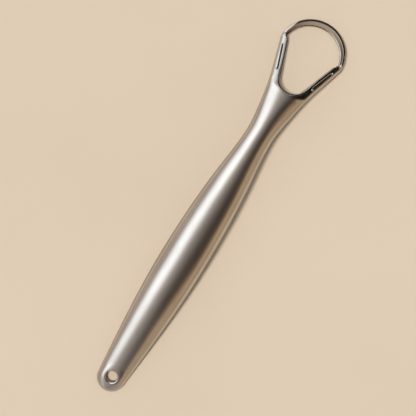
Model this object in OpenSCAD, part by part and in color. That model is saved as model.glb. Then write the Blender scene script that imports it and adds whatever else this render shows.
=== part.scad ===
// Tongue scraper of stainless steel: a hollow handle of two pressed half shells, a solid
// forked head set into it, and a thin closed band in the fork that does the scraping.
// Sizes are in millimetres. The tool lies on its back on z = 0, with the loop towards +X
// and the front face up. Stations are measured along the centre line from the tail.

/* [Whole tool] */
// Length along the centre line, from the tail to the tip of the loop
tool_length = 167.7; // [140:0.1:190]
// Angle by which the head is bent back from the handle
neck_bend = 17.5; // [5:0.5:22]

/* [Handle] */
// Width of the handle at its widest place
belly_w = 17.7; // [15:0.1:20]
// Thickness of the handle at its widest place
belly_t = 9.8; // [8:0.1:12]
// Station of the widest place
belly_at = 57.5; // [48:0.5:65]
// Width of the neck, the narrowest place
neck_w = 10.9; // [9.5:0.1:13]
// Thickness of the neck
neck_t = 7.0; // [6:0.1:8.5]
// Distance from the loop's centre back to the neck
neck_back = 38.4; // [33:0.1:42]
// Width of the round tail
tail_w = 11.3; // [9.5:0.1:13]
// Thickness of the tail
tail_t = 4.6; // [4:0.1:6.5]
// Angle at which the front and the back leave the tail
tail_rise = 4; // [0:0.5:6]
// Angle at which each side of the handle leaves the round tail
tail_spread = 4.7; // [2:0.1:8]
// Wall of the two half shells
shell_wall = 1.0; // [0.7:0.05:1.3]

/* [Hanging hole] */
// Distance of the hole's centre past the centre of the tail's round end
hole_past = 0.7; // [0:0.1:1.5]
// Bore of the eyelet
eyelet_bore_d = 4.5; // [3.6:0.1:5]
// Wall of the eyelet
eyelet_wall = 0.55; // [0.4:0.05:0.8]
// Depth of the rounded mouth at each end of the eyelet
eyelet_mouth = 0.5; // [0.3:0.05:0.6]

/* [Head] */
// Outer diameter of the loop
loop_d = 27; // [23:0.1:29]
// Thickness of the fork's arms
head_t = 5.4; // [4.6:0.1:6]
// Angle of the fork's outer sides to the centre line
fork_flare = 16.5; // [12:0.5:18]
// Distance from the loop's centre back to where those sides start to run straight
flare_back = 14.3; // [11:0.1:16]
// Width of each arm beside the foot of the loop
arm_w = 2.7; // [2.2:0.05:3.4]
// Distance from the loop's centre back to the centre of the loop's round foot
crotch_back = 12.2; // [11:0.1:14]
// Length of the tang that reaches into the handle
tang_length = 9; // [6:0.5:11]
// Distance from the band's foot back to the end of the handle shells
fork_root = 4.4; // [3.5:0.1:5.5]
// Height of the arm tips past the loop's centre
tip_rise = 0.3; // [0:0.1:1.5]

/* [Band] */
// Thickness of the band at its front edge
band_t = 1.0; // [0.8:0.05:1.2]
// Extra thickness of the band at its back edge, which slopes its inner face
band_slope = 1.0; // [0:0.1:1.2]
// Depth of the band from front to back
band_depth = 4.8; // [4:0.1:5.4]
// Step of the band's shoulders, where it widens over the arm tips
shoulder_step = 1.5; // [0.6:0.05:1.8]
// Width of the open joint between arm and band
joint_w = 0.4; // [0.25:0.05:0.6]
// Depth of the open joint
joint_depth = 1.6; // [0.8:0.1:2.2]
// Length of the open joint
joint_length = 10; // [6:0.5:12]
// Distance of the open joint from the arm's tip
joint_from_tip = 3.4; // [2.5:0.1:4]
// Diameter of the tack weld at the foot of each open joint
tack_d = 1.1; // [0.8:0.05:1.3]

/* [Fits] */
// Clearance between the tang and the shells
tang_gap = 0.05; // [0.02:0.01:0.12]
// Clearance around the eyelet and the tack welds
round_gap = 0.03; // [0.01:0.01:0.06]

/* [Hidden] */
$fn = 96;

satin_steel = [0.72, 0.69, 0.66];
satin_steel_shade = [0.64, 0.61, 0.58];
polished_steel = [0.80, 0.80, 0.81];
bright_steel = [0.88, 0.88, 0.87];

// One overrun serves every cut
cut = 2 * shell_wall;

// Stations along the centre line
tail_r = tail_w / 2;
loop_r = loop_d / 2;
hole_at = tail_r + hole_past;
loop_at = tool_length - loop_r;
tip_at = loop_at + tip_rise;
neck_at = loop_at - neck_back;
crotch_at = loop_at - crotch_back;
// Radius inside the band at the foot of the loop
crotch_r = flare_side(crotch_at) - band_t - arm_w;
shell_end_at = crotch_at - crotch_r - fork_root;
tang_at = shell_end_at - tang_length;
nose_end_at = tail_r * (1 - sin(tail_spread));
flare_at = loop_at - flare_back;
// The centre line is bent between these two stations
bend_from = belly_at;
bend_to = shell_end_at;

// Shares that shape the curves between the stations
taper_at_share = 0.755;
taper_level_share = 0.32;
taper_slope_share = 2;
// Fullness of the fork's root, between the neck and the straight sides
root_full_share = 0.062;
nose_round_share = 2.4;
// Squareness of the cross-section: 2 is an ellipse, more is boxier
tail_square_share = 2.3;
body_square_share = 2.1;
tip_square_share = 4.5;

// Facets of the lofted solids
half_sides = 20;
nose_rings = 7;
body_rings = 38;
tang_rings = 4;
fork_rings = 24;
nose_from_angle = 8;

// A cubic from a to b over x = 0 to 1, with slopes ma and mb at its ends
function cubic(x, a, b, ma = 0, mb = 0) =
    a * (1 + 2 * x) * (1 - x) * (1 - x) + ma * x * (1 - x) * (1 - x)
    + b * x * x * (3 - 2 * x) - mb * x * x * (1 - x);

function share_of(s, from, to) = max(0, min(1, (s - from) / (to - from)));

// From 1 at the belly to 0 at the neck, full at first and then falling fast
function waist(x) = x < taper_at_share
    ? cubic(x / taper_at_share, 1, taper_level_share, 0, -taper_slope_share * taper_at_share)
    : cubic((x - taper_at_share) / (1 - taper_at_share), taper_level_share, 0,
        -taper_slope_share * (1 - taper_at_share), 0);

// Half the width of the outline, drawn in by inset
function half_w(s, inset = 0) =
    s < nose_end_at ? sqrt(max(0, pow(tail_r - inset, 2) - pow(tail_r - s, 2)))
    : s < belly_at ? cubic(share_of(s, nose_end_at, belly_at), tail_r * cos(tail_spread),
        belly_w / 2, tan(tail_spread) * (belly_at - nose_end_at)) - inset
    : s < neck_at ? (neck_w + (belly_w - neck_w) * waist(share_of(s, belly_at, neck_at))) / 2 - inset
    : s < flare_at ? root_w(share_of(s, neck_at, flare_at)) - inset
    : s < loop_at ? flare_side(s) - inset
    : sqrt(loop_r * loop_r - pow(s - loop_at, 2)) - inset;

// The fork's root, from the neck at x = 0 to the straight sides at x = 1
function root_w(x) = neck_w / 2 * (1 + root_full_share * pow(4 * x * (1 - x), 2))
    + (flare_side(flare_at) - neck_w / 2) * x * x * (3 - 2 * x)
    - tan(fork_flare) * (flare_at - neck_at) * x * x * (1 - x);

// The straight outer side of the fork, which ends at the loop's widest place
function flare_side(s) = loop_r + (s - loop_at) * tan(fork_flare);

// Half the thickness, drawn in by inset
function half_t(s, inset = 0) =
    s < nose_end_at ? (tail_t / 2 - (nose_end_at - s) * tan(tail_rise) - inset)
        * pow(1 - pow(1 - share_of(s, inset, nose_end_at), nose_round_share), 1 / nose_round_share)
    : s < belly_at ? cubic(share_of(s, nose_end_at, belly_at), tail_t / 2, belly_t / 2,
        tan(tail_rise) * (belly_at - nose_end_at)) - inset
    : s < neck_at ? (neck_t + (belly_t - neck_t) * waist(share_of(s, belly_at, neck_at))) / 2 - inset
    : cubic(share_of(s, neck_at, crotch_at), neck_t, head_t) / 2 - inset;

function squareness(s) = s < belly_at
    ? cubic(share_of(s, nose_end_at, belly_at), tail_square_share, body_square_share)
    : body_square_share + (tip_square_share - body_square_share) * pow(share_of(s, neck_at, tip_at), 2);

// The centre line, with its straight first stretch along +X: [x, z] at a station
bend_r = (bend_to - bend_from) / (neck_bend * PI / 180);
function bend_at(s) = neck_bend * share_of(s, bend_from, bend_to);
function spine(s) = s < bend_from ? [s, 0]
    : [bend_from + bend_r * sin(bend_at(s)), -bend_r * (1 - cos(bend_at(s)))]
        + max(0, s - bend_to) * [cos(neck_bend), -sin(neck_bend)];
function on_spine(s, y, z) = let (a = bend_at(s), c = spine(s))
    [c[0] + z * sin(a), y, c[1] + z * cos(a)];

// A point of the cross-section at an angle from the left edge
function signed_pow(v, e) = sign(v) * pow(abs(v), e);
function section_point(s, inset, angle) = let (e = 2 / squareness(s))
    on_spine(s, half_w(s, inset) * signed_pow(cos(angle), e), half_t(s, inset) * signed_pow(sin(angle), e));

// Stations of the rings: close together round the tail, then even
nose_stations = [for (i = [0 : nose_rings - 1])
    tail_r * (1 - cos(nose_from_angle + (90 - tail_spread - nose_from_angle) * i / nose_rings))];
body_stations = [for (i = [0 : body_rings]) nose_end_at + (shell_end_at - nose_end_at) * i / body_rings];
shell_stations = concat(nose_stations, body_stations);
// The inside starts one wall further along, and shares its stations with the outside where
// the centre line bends
function inner_station(s) = s < bend_from ? shell_wall + s * (1 - shell_wall / bend_from) : s;

// The tool rests on the back of its tail and the back of the loop's tip
function head_point(u, z) = on_spine(loop_at, 0, z) + u * [cos(neck_bend), 0, -sin(neck_bend)];
loop_foot = head_point(loop_r, -band_depth / 2);
rest_pitch = min([for (s = shell_stations) let (p = on_spine(s, 0, -half_t(s)))
    atan2(p[2] - loop_foot[2], loop_foot[0] - p[0])]);
function pitched(p) = [p[0] * cos(rest_pitch) - p[2] * sin(rest_pitch),
    p[0] * sin(rest_pitch) + p[2] * cos(rest_pitch)];
tail_x = min([for (s = nose_stations) for (side = [-1, 1]) pitched([s, 0, side * half_t(s)])[0]]);
tip_x = pitched(head_point(loop_r, band_depth / 2))[0];
rest_lift = -pitched(loop_foot)[1];

module at_rest() {
    translate([-(tail_x + tip_x) / 2, 0, rest_lift])
        rotate([0, -rest_pitch, 0])
            children();
}

// The head's own frame: origin at the loop's centre, +X to the tip, +Z out of the front
module head_frame() {
    translate(head_point(0, 0))
        rotate([0, neck_bend, 0])
            children();
}

// Triangles of a strip between two rows of points that start at a and b
function strip(a, b, count, flip) = [for (j = [0 : count - 1]) for (k = [0, 1])
    let (t = k == 0 ? [a + j, b + j, b + j + 1] : [a + j, b + j + 1, a + j + 1])
    flip ? [t[2], t[1], t[0]] : t];
function cap(from, count, flip) = flip
    ? [for (j = [count - 1 : -1 : 0]) from + j]
    : [for (j = [0 : count - 1]) from + j];

// One half of the hollow handle, open at the seam and at the head: side is 1 in front, -1 behind
module half_shell(side) {
    rows = len(shell_stations);
    m = half_sides + 1;
    last = (rows - 1) * m;
    in0 = rows * m;
    flip = side < 0;
    outer = [for (s = shell_stations) for (j = [0 : half_sides])
        section_point(s, 0, side * 180 * j / half_sides)];
    inner = [for (s = shell_stations) for (j = [0 : half_sides])
        section_point(inner_station(s), shell_wall, side * 180 * j / half_sides)];
    walls = [for (i = [0 : rows - 2]) each concat(
        strip(i * m, (i + 1) * m, half_sides, flip),
        strip(in0 + i * m, in0 + (i + 1) * m, half_sides, !flip))];
    seams = [for (i = [0 : rows - 2]) for (j = [0, half_sides])
        let (a = i * m + j, b = a + m, f = [a, in0 + a, in0 + b, b])
        (j == 0) != flip ? f : [f[3], f[2], f[1], f[0]]];
    seam_end = flip ? [0, in0, in0 + half_sides, half_sides] : [half_sides, in0 + half_sides, in0, 0];
    polyhedron(points = concat(outer, inner), convexity = 6, faces = concat(walls, seams, [
        cap(0, m, !flip), cap(in0, m, flip), seam_end], strip(last, in0 + last, half_sides, flip)));
}

// The cylinder through the tail that holds the eyelet
eyelet_r = eyelet_bore_d / 2 + eyelet_wall;
module eyelet_space() {
    translate([hole_at, 0, -tail_t])
        cylinder(r = eyelet_r + round_gap, h = 2 * tail_t);
}

module handle_front_shell() {
    color(satin_steel)
        at_rest()
            difference() {
                half_shell(1);
                eyelet_space();
            }
}

module handle_rear_shell() {
    color(satin_steel_shade)
        at_rest()
            difference() {
                half_shell(-1);
                eyelet_space();
            }
}

// A short tube with rounded mouths, which stays just inside the two shells' outer faces
module hanging_eyelet() {
    bore_r = eyelet_bore_d / 2;
    end = half_t(hole_at - eyelet_r);
    rx = eyelet_wall;
    arc = [for (a = [0 : 15 : 90]) [bore_r + rx * (1 - cos(a)), end - eyelet_mouth * (1 - sin(a))]];
    color(bright_steel)
        at_rest()
            translate([hole_at, 0, 0])
                rotate_extrude()
                    polygon(concat(arc, [for (i = [len(arc) - 1 : -1 : 0]) [arc[i][0], -arc[i][1]]]));
}

// The solid of the fork before the band's seat is cut: a tang, a step, and the flared body
module fork_blank() {
    m = 2 * half_sides;
    tang = [for (i = [0 : tang_rings]) [tang_at + tang_length * i / tang_rings, shell_wall + tang_gap]];
    body = [for (i = [0 : fork_rings]) [shell_end_at + (tip_at - shell_end_at) * i / fork_rings, 0]];
    rings = concat(tang, body);
    rows = len(rings);
    points = [for (r = rings) for (j = [0 : m - 1]) section_point(r[0], r[1], 360 * j / m)];
    sides = [for (i = [0 : rows - 2]) for (j = [0 : m - 1]) for (k = [0, 1])
        let (a = i * m + j, b = i * m + (j + 1) % m)
        k == 0 ? [a, a + m, b + m] : [a, b + m, b]];
    polyhedron(points = points, convexity = 4, faces = concat(sides,
        [cap(0, m, true), cap((rows - 1) * m, m, false)]));
}

// Half the width of the band's straight legs at u in the head's frame, moved out by d
tip_half_w = loop_r - band_t - shoulder_step;
leg_rise = crotch_back + tip_rise;
leg_angle = acos(crotch_r / norm([tip_half_w, leg_rise])) - atan2(leg_rise, tip_half_w);
function leg_v(u, d) = (crotch_r + d) / cos(leg_angle) + (u + crotch_back) * tan(leg_angle);

// The outline inside the fork, moved out by d and ending at u = top
module loop_outline(d, top) {
    r = crotch_r + d;
    foot = -crotch_back - r * sin(leg_angle);
    translate([-crotch_back, 0])
        circle(r);
    polygon([[foot, -leg_v(foot, d)], [top, -leg_v(top, d)], [top, leg_v(top, d)], [foot, leg_v(foot, d)]]);
}

// The frame of one leg's joint: origin at the arm's tip on the band's outer face, +X down the leg
module leg_frame(side) {
    translate([tip_rise, side * leg_v(tip_rise, band_t), 0])
        rotate(180 + side * leg_angle)
            mirror([0, side > 0 ? 1 : 0, 0])
                children();
}

// The front of the arm where the tack weld sits
tack_along = joint_from_tip + joint_length;
tack_at = tip_at - tack_along * cos(leg_angle);
tack_z = half_t(tack_at) * pow(1 - pow((leg_v(tack_at - loop_at, band_t) + tack_d / 2)
    / half_w(tack_at), squareness(tack_at)), 1 / squareness(tack_at));

module head_fork() {
    color(polished_steel)
        at_rest()
            difference() {
                fork_blank();
                head_frame() {
                    translate([0, 0, -head_t])
                        linear_extrude(2 * head_t)
                            loop_outline(band_t, tip_rise + cut);
                    for (side = [-1, 1])
                        leg_frame(side) {
                            translate([joint_from_tip, 0, head_t / 2 - joint_depth])
                                cube([joint_length, joint_w, 2 * joint_depth]);
                            translate([tack_along, tack_d / 2, head_t / 2 - joint_depth])
                                cylinder(d = tack_d, h = 2 * joint_depth);
                        }
                }
            }
}

// The half disc above the band's shoulders
module half_disc(r, from) {
    intersection() {
        circle(r);
        translate([from, -loop_d])
            square([loop_d, 2 * loop_d]);
    }
}

// The band's opening at its front edge, drawn in by d: the lower part, or the upper
module band_opening(d, upper) {
    if (upper)
        half_disc(loop_r - band_t - d, tip_rise + band_t);
    else
        loop_outline(-d, tip_rise + band_t);
}

// A closed strip: it lines the fork, steps out over the arm tips and crosses as a half circle
module scraper_band() {
    color(bright_steel)
        at_rest()
            head_frame()
                difference() {
                    translate([0, 0, -band_depth / 2])
                        linear_extrude(band_depth) {
                            loop_outline(band_t, tip_rise);
                            half_disc(loop_r, tip_rise);
                        }
                    for (upper = [false, true])
                        hull() {
                            translate([0, 0, band_depth / 2])
                                linear_extrude(cut)
                                    band_opening(0, upper);
                            translate([0, 0, -band_depth / 2 - cut])
                                linear_extrude(cut)
                                    band_opening(band_slope, upper);
                        }
                }
}

// A small bead at the foot of each open joint, domed just above the arm
module tack_welds() {
    r = tack_d / 2 - round_gap;
    floor_z = head_t / 2 - joint_depth;
    color(bright_steel)
        at_rest()
            head_frame()
                for (side = [-1, 1])
                    leg_frame(side)
                        translate([tack_along, tack_d / 2, floor_z])
                            rotate_extrude()
                                polygon(concat([[0, 0], [r, 0]],
                                    [for (a = [0 : 15 : 90]) [r * cos(a), tack_z - floor_z + r / 2 * sin(a)]]));
}

handle_front_shell();
handle_rear_shell();
hanging_eyelet();
head_fork();
scraper_band();
tack_welds();
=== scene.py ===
"""Looks for the tongue scraper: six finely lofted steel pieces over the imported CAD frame.

Points are worked out in millimetres in the tool's own frame (+X along the handle from the tail,
+Z out of the front) and then laid down on the floor as the CAD lies, in metres. A station is a
length along the bent centre line from the tail's end. In the head, u runs along the tool from the
loop's centre to its tip, and v across it.
"""
import math

import bmesh
import bpy
import numpy as np
from mathutils import Matrix, Vector

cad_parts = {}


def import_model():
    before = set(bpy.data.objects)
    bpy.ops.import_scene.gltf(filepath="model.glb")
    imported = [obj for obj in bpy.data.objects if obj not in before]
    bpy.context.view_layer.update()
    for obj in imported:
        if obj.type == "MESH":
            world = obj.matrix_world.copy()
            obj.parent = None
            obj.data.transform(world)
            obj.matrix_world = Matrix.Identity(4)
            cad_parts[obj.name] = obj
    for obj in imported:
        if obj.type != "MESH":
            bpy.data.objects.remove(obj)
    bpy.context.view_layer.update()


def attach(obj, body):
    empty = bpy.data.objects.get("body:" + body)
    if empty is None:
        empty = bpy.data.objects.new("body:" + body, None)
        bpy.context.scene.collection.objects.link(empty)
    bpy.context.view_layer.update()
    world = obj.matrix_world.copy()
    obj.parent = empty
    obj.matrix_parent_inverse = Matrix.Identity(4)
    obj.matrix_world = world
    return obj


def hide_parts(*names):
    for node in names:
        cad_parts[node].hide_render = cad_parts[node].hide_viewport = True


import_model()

# Sizes, as in part.scad, in mm
MM = 0.001
TOOL_LENGTH, NECK_BEND = 167.7, math.radians(17.5)
BELLY_W, BELLY_T, BELLY_AT = 17.7, 9.8, 57.5
NECK_W, NECK_T, NECK_BACK = 10.9, 7.0, 38.4
TAIL_W, TAIL_T = 11.3, 4.6
TAIL_RISE, TAIL_SPREAD = math.radians(4), math.radians(4.7)
SHELL_WALL = 1.0
HOLE_PAST, BORE_D, EYELET_WALL, EYELET_MOUTH = 0.7, 4.5, 0.55, 0.5
LOOP_D, HEAD_T = 27.0, 5.4
FORK_FLARE, FLARE_BACK = math.radians(16.5), 14.3
ARM_W, CROTCH_BACK, TANG_LENGTH, FORK_ROOT, TIP_RISE = 2.7, 12.2, 9.0, 4.4, 0.3
BAND_T, BAND_SLOPE, BAND_DEPTH, SHOULDER_STEP = 1.0, 1.0, 4.8, 1.5
JOINT_W, JOINT_DEPTH, JOINT_LENGTH, JOINT_FROM_TIP = 0.4, 1.6, 10.0, 3.4
TACK_D, TANG_GAP, ROUND_GAP = 1.1, 0.05, 0.03
TAPER_AT, TAPER_LEVEL, TAPER_SLOPE, ROOT_FULL, NOSE_ROUND = 0.755, 0.32, 2.0, 0.062, 2.4
TAIL_SQUARE, BODY_SQUARE = 2.3, 2.1
CAD_NOSE_RINGS, CAD_BODY_RINGS, CAD_NOSE_FROM = 7, 38, math.radians(8)

# Finish of the handle that the CAD leaves out, in mm and radians
# Rounding of the seam's edges, its greatest share of the section's half sizes, and the points on
# it as shares of its height
SEAM_R, SEAM_R_SHARE, SEAM_POINTS = 0.1, 0.3, (0.0, 0.25, 0.6)
# Round the hole the shells are flatter: fully out to one radius, not at all past another, and
# the share of the crown that goes
HOLE_FLAT, HOLE_FLAT_SHARE = (3.0, 5.4), 0.45
# Rounding of the eyelet's rim, the angle at which its mouth's rounding stops short of the face,
# and the height from which its ends follow the shells' faces
EYELET_RIM_R, EYELET_MOUTH_STOP, EYELET_FLUSH_FROM = 0.05, 0.12, 0.4

# Finish of the fork, in mm
# Power of the section's superellipse at the arms' tips, which makes the arms rounder than the CAD's
TIP_SQUARE = 3.2
# How far past the arms' tips the band's seat is cut
SEAT_PAST = 3.0
# The seat's mouth and the open joint's, as (height, how much wider). The joint's heights are from
# the arm's face.
MOUTH = ((2.58, 0.0), (2.64, 0.01), (2.69, 0.05), (2.75, 0.13), (3.40, 0.6))
SLIT_MOUTH = ((-0.45, 0.0), (-0.28, 0.02), (0.02, 0.36))
# How much wider the joint's cutter is above the fork, the rounding of its ends, and how far it
# reaches into the seat
SLIT_TOP, SLIT_END_R, SLIT_IN = 0.8, 0.18, 0.3
# How far a tack's pocket opens into the seat
TACK_BREACH = 0.02

# Finish of the band, in mm and radians
# Rounding inside the front edge and the rear edge
BAND_FRONT_R, BAND_BACK_R = 0.12, 0.3
# Rounding outside the front edge beside an open joint and beside a closed one, the length over
# which these run into each other, and the rounding outside the rear edge
BAND_OUTER_R, CLOSED_R, JOINT_FADE, BAND_HEEL_R = 0.36, 0.05, 0.5, 0.16
# Rounding outside the arc's front edge: its width and its height
ARC_EDGE_W, ARC_EDGE_H = 0.42, 0.3
# Bevel in its place beside the shoulders: its share of the thickness, its slope, the angle that
# it takes up past the arm's tip, and the angle over which it then runs into the rounding
BEVEL_SHARE, BEVEL_SLOPE, BEVEL_KEEP, BEVEL_FADE = 0.85, 0.72, 0.30, 0.40
# Rounding at the bevel's outer edge: its height, and its share of the bevel's width
BEVEL_EDGE, BEVEL_EDGE_SHARE = 0.25, 0.25
# Width of the edge over the arm's tip, where it follows the arm's face, and the angle over which
# it runs from there into the bevel
SHOULDER_W, FACE_FADE = 1.5, 0.15
# Least flat on top, between the inner and the outer edge
FLAT_W = 0.06
# Rounding inside the front edge round the foot, and width and height of its bevel at the shoulders
FOOT_R, SHOULDER_IN_R, SHOULDER_IN_DROP = 0.5, 0.8, 0.6
# How much thicker the arc's front is than the legs'
ARC_IN = 0.15
# Ledge along the inside: its height, its width, how far behind it the slope ends, and its corners
# as (height from the ledge, how much further in)
LEDGE_Z, LEDGE_W, LEDGE_RUN = -1.75, 0.3, 0.12
LEDGE_BACK = ((-0.05, -0.01), (-0.01, -0.05), (0.0, -0.10))
LEDGE_FRONT = ((0.02, 0.06), (0.06, 0.01))
# Land in front of the ledge: the height where it starts, and how far in it stands at the ledge
LAND_FROM, LAND_IN = LEDGE_Z + 0.16, 0.42
# Length past the arms' tips over which the front rises to its full height
CROWN_FADE = 9.0
# Where the inside steps out past the loop's centre, and how strongly the step's curve holds on to
# the directions of its ends
STEP_FROM, STEP_TO, STEP_PULL = 0.2, 2.4, 0.46

# Counts of points and rows. The shells' rows start at an angle round the nose, are closer
# together up to a station, and stop a little short of the last one.
AROUND, TACK_AROUND, BEAD_AROUND, FLOOR_AROUND = 128, 40, 48, 96
SHELL_QUARTER, FORK_QUARTER, CURVE_POINTS = 24, 22, 400
NOSE_ROWS, TAIL_ROWS, BODY_ROWS, FORK_ROWS = 34, 18, 150, 76
NOSE_ROWS_FROM, TAIL_ROWS_TO, LAST_ROW = math.radians(0.7), 14, 0.25
EYELET_MOUTH_ROWS, SMALL_ARC, SEAT_POINTS, SLIT_POINTS = 14, 5, 40, 12
FOOT_N, LEG_N, STEP_N, ARC_N, OVER_N = 30, 60, 18, 52, 7
FOOT_FADE_N, ARC_FADE_N, SHOULDER_N = 30, 12, 8
BAND_EDGE_ROWS, BAND_OUTER_ROWS, BAND_SLOPE_ROWS, BAND_LAND_ROWS = 6, 8, 5, 6
BAND_TOP_ROWS = (0.33, 0.67)  # the rows across its flat top, as shares of the way

# Derived stations along the centre line
TAIL_R, LOOP_R = TAIL_W / 2, LOOP_D / 2
HOLE_AT = TAIL_R + HOLE_PAST
LOOP_AT = TOOL_LENGTH - LOOP_R
TIP_AT, NECK_AT, CROTCH_AT = LOOP_AT + TIP_RISE, LOOP_AT - NECK_BACK, LOOP_AT - CROTCH_BACK
FLARE_AT = LOOP_AT - FLARE_BACK


def flare_side(s):
    """Half the head's width where its sides flare out straight."""
    return LOOP_R + (s - LOOP_AT) * math.tan(FORK_FLARE)


CROTCH_R = flare_side(CROTCH_AT) - BAND_T - ARM_W
SHELL_END = CROTCH_AT - CROTCH_R - FORK_ROOT
TANG_AT = SHELL_END - TANG_LENGTH
NOSE_END = TAIL_R * (1 - math.sin(TAIL_SPREAD))
BEND_R = (SHELL_END - BELLY_AT) / NECK_BEND


# The form, as in part.scad

def share(s, start, end):
    """How far s has come from start to end, from 0 to 1."""
    return min(1.0, max(0.0, (s - start) / (end - start)))


def cubic(x, a, b, ma=0.0, mb=0.0):
    """From a at x = 0 to b at x = 1, with the slopes ma and mb there."""
    return (a * (1 + 2 * x) * (1 - x) ** 2 + ma * x * (1 - x) ** 2
            + b * x * x * (3 - 2 * x) - mb * x * x * (1 - x))


def waist(x):
    """The taper from 1 at the belly to 0 at the neck."""
    if x < TAPER_AT:
        return cubic(x / TAPER_AT, 1, TAPER_LEVEL, 0, -TAPER_SLOPE * TAPER_AT)
    return cubic((x - TAPER_AT) / (1 - TAPER_AT), TAPER_LEVEL, 0, -TAPER_SLOPE * (1 - TAPER_AT), 0)


def root_w(x):
    """Half the width from the neck to the start of the straight flare."""
    return (NECK_W / 2 * (1 + ROOT_FULL * (4 * x * (1 - x)) ** 2)
            + (flare_side(FLARE_AT) - NECK_W / 2) * x * x * (3 - 2 * x)
            - math.tan(FORK_FLARE) * (FLARE_AT - NECK_AT) * x * x * (1 - x))


def half_w(s, inset=0.0):
    """Half the tool's width at a station."""
    if s < NOSE_END:
        return math.sqrt((TAIL_R - inset) ** 2 - (TAIL_R - s) ** 2)
    if s < BELLY_AT:
        return cubic(share(s, NOSE_END, BELLY_AT), TAIL_R * math.cos(TAIL_SPREAD), BELLY_W / 2,
                     math.tan(TAIL_SPREAD) * (BELLY_AT - NOSE_END)) - inset
    if s < NECK_AT:
        return (NECK_W + (BELLY_W - NECK_W) * waist(share(s, BELLY_AT, NECK_AT))) / 2 - inset
    if s < FLARE_AT:
        return root_w(share(s, NECK_AT, FLARE_AT)) - inset
    if s < LOOP_AT:
        return flare_side(s) - inset
    return math.sqrt(LOOP_R ** 2 - (s - LOOP_AT) ** 2) - inset


def half_t(s, inset=0.0):
    """Half the tool's thickness at a station."""
    if s < NOSE_END:
        return ((TAIL_T / 2 - (NOSE_END - s) * math.tan(TAIL_RISE) - inset)
                * (1 - (1 - share(s, inset, NOSE_END)) ** NOSE_ROUND) ** (1 / NOSE_ROUND))
    if s < BELLY_AT:
        return cubic(share(s, NOSE_END, BELLY_AT), TAIL_T / 2, BELLY_T / 2,
                     math.tan(TAIL_RISE) * (BELLY_AT - NOSE_END)) - inset
    if s < NECK_AT:
        return (NECK_T + (BELLY_T - NECK_T) * waist(share(s, BELLY_AT, NECK_AT))) / 2 - inset
    return cubic(share(s, NECK_AT, CROTCH_AT), NECK_T, HEAD_T) / 2 - inset


def squareness(s):
    """The power of the section's superellipse at a station."""
    if s < BELLY_AT:
        return cubic(share(s, NOSE_END, BELLY_AT), TAIL_SQUARE, BODY_SQUARE)
    return BODY_SQUARE + (TIP_SQUARE - BODY_SQUARE) * share(s, NECK_AT, TIP_AT) ** 2


def front_z(s, y):
    """Height of the front face above the centre line, at a station and y across."""
    n = squareness(s)
    return half_t(s) * (1 - min(1.0, abs(y) / half_w(s)) ** n) ** (1 / n)


def on_spine(s, y, z):
    """A point at a station, y across and z out of the front, on the bent centre line."""
    a = NECK_BEND * share(s, BELLY_AT, SHELL_END)
    if s < BELLY_AT:
        x0, z0 = s, 0.0
    else:
        past = max(0.0, s - SHELL_END)
        x0 = BELLY_AT + BEND_R * math.sin(a) + past * math.cos(NECK_BEND)
        z0 = -BEND_R * (1 - math.cos(a)) - past * math.sin(NECK_BEND)
    y, z = np.asarray(y, float), np.asarray(z, float)
    return np.stack([x0 + z * math.sin(a), y + 0 * z, z0 + z * math.cos(a)], axis=-1)


def in_head(u, v, z):
    """Points of the head's frame: origin at the loop's centre, +z out of the front."""
    u, v, z = (np.asarray(k, float) for k in np.broadcast_arrays(u, v, z))
    c = on_spine(LOOP_AT, 0, 0)
    return np.stack([c[0] + u * math.cos(NECK_BEND) + z * math.sin(NECK_BEND), v,
                     c[2] - u * math.sin(NECK_BEND) + z * math.cos(NECK_BEND)], axis=-1)


def rest_pose():
    """Pitch, shift and lift that lay the tool on the back of its tail and of the loop's tip."""
    nose = [TAIL_R * (1 - math.cos(CAD_NOSE_FROM + (math.pi / 2 - TAIL_SPREAD - CAD_NOSE_FROM)
                                   * i / CAD_NOSE_RINGS)) for i in range(CAD_NOSE_RINGS)]
    body = [NOSE_END + (SHELL_END - NOSE_END) * i / CAD_BODY_RINGS
            for i in range(CAD_BODY_RINGS + 1)]
    foot = in_head(LOOP_R, 0, -BAND_DEPTH / 2)
    low = [on_spine(s, 0, -half_t(s)) for s in nose + body]
    pitch = min(math.atan2(p[2] - foot[2], foot[0] - p[0]) for p in low)
    c, n = math.cos(pitch), math.sin(pitch)
    tail_x = min(s * c - side * half_t(s) * n for s in nose for side in (-1, 1))
    tip = in_head(LOOP_R, 0, BAND_DEPTH / 2)
    tip_x = tip[0] * c - tip[2] * n
    return pitch, -(tail_x + tip_x) / 2, -(foot[0] * n + foot[2] * c)


PITCH, SHIFT, LIFT = rest_pose()


def at_rest(points):
    """Tool frame in mm to the CAD's frame in metres."""
    p = np.asarray(points, float)
    c, n = math.cos(PITCH), math.sin(PITCH)
    return np.stack([p[..., 0] * c - p[..., 2] * n + SHIFT, p[..., 1],
                     p[..., 0] * n + p[..., 2] * c + LIFT], axis=-1) * MM


# Mesh helpers

def strip(a, b, closed=False):
    """Quads between two rows of point numbers."""
    n = len(a)
    return [(a[j], b[j], b[(j + 1) % n], a[(j + 1) % n]) for j in range(n if closed else n - 1)]


def grid(rows, cols, start=0, closed_rows=False, closed_cols=False):
    """Quads over rows of points that are numbered from start."""
    number = [[start + i * cols + j for j in range(cols)] for i in range(rows)]
    faces = []
    for i in range(rows if closed_rows else rows - 1):
        faces += strip(number[i], number[(i + 1) % rows], closed_cols)
    return faces


def capped(rows, cols):
    """Quads over closed rows, with a face over the first row and over the last."""
    ends = [tuple(range(cols)), tuple(range((rows - 1) * cols, rows * cols))]
    return grid(rows, cols, closed_cols=True) + ends


def link(name, data):
    """A new object in the scene."""
    obj = bpy.data.objects.new(name, data)
    bpy.context.scene.collection.objects.link(obj)
    return obj


def discard(obj):
    """Removes an object and its mesh."""
    mesh = obj.data
    bpy.data.objects.remove(obj)
    bpy.data.meshes.remove(mesh)


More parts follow.
